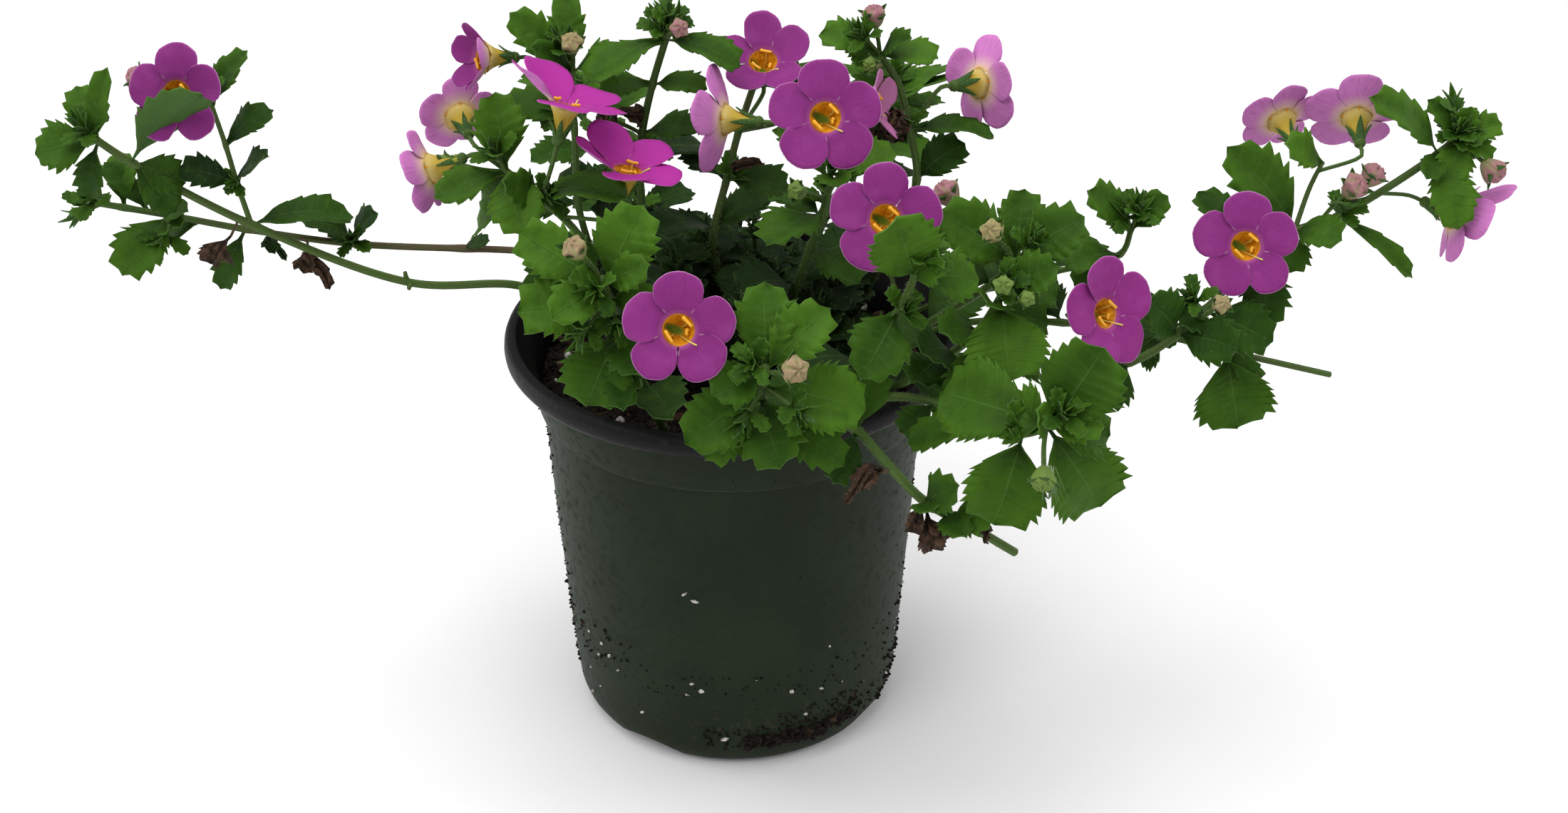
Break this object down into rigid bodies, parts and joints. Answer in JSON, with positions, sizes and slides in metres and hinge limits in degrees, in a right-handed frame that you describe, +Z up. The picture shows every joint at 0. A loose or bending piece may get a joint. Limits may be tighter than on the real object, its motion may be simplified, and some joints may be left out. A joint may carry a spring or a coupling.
{
  "type": "potted bacopa",
  "caption": "Trailing bacopa in a tapered grower's pot, with toothed leaves and five-lobed violet flowers on long stems.",
  "frame": {"origin": "on the pot's axis, in the flat face under the pot", "axes": "+Z up along the pot's axis, +X along the longest reach of the trailing stems, -Y to the front with the lowest stems"},
  "size_m": [0.3494, 0.1813, 0.194],
  "materials": {
    "pot_plastic": "thin moulded plastic, dark green outside with a black rim and inside",
    "soil": "damp crumbly mix with bark and perlite",
    "leaf_green": "soft matt leaf with short hairs",
    "petal_violet": "satin petal with a pale edge",
    "throat_yellow": "satin throat"
  },
  "bodies": {
    "root": {"pot": "pot_plastic", "soil": "soil", "left_low": "leaf_green", "left_back": "leaf_green", "upper_left": "leaf_green", "top_left": "leaf_green", "top": "leaf_green", "mid_back": "leaf_green", "top_right": "leaf_green", "centre": "leaf_green", "centre_right": "leaf_green", "right_a": "leaf_green", "right_b": "leaf_green", "right_sprout": "leaf_green", "right_long": "leaf_green", "right_cut": "leaf_green", "right_low": "leaf_green", "front_right": "leaf_green", "front_left": "leaf_green", "front": "leaf_green", "back_left": "leaf_green", "back_right": "leaf_green", "bloom_01": "petal_violet", "bloom_02": "petal_violet", "bloom_03": "petal_violet", "bloom_04": "petal_violet", "bloom_05": "petal_violet", "bloom_06": "petal_violet", "bloom_07": "petal_violet", "bloom_08": "petal_violet", "bloom_09": "petal_violet", "bloom_10": "petal_violet", "bloom_11": "petal_violet", "bloom_12": "petal_violet", "bloom_13": "petal_violet", "bloom_14": "petal_violet", "bloom_15": "petal_violet", "bloom_16": "petal_violet", "bloom_17": "petal_violet", "bloom_18": "petal_violet", "bloom_19": "petal_violet", "throat_01": "throat_yellow", "throat_02": "throat_yellow", "throat_03": "throat_yellow", "throat_04": "throat_yellow", "throat_05": "throat_yellow", "throat_06": "throat_yellow", "throat_07": "throat_yellow", "throat_08": "throat_yellow", "throat_09": "throat_yellow", "throat_10": "throat_yellow", "throat_11": "throat_yellow", "throat_12": "throat_yellow", "throat_13": "throat_yellow", "throat_14": "throat_yellow", "throat_15": "throat_yellow", "throat_16": "throat_yellow", "throat_17": "throat_yellow", "throat_18": "throat_yellow", "throat_19": "throat_yellow"}
  },
  "joints": []
}
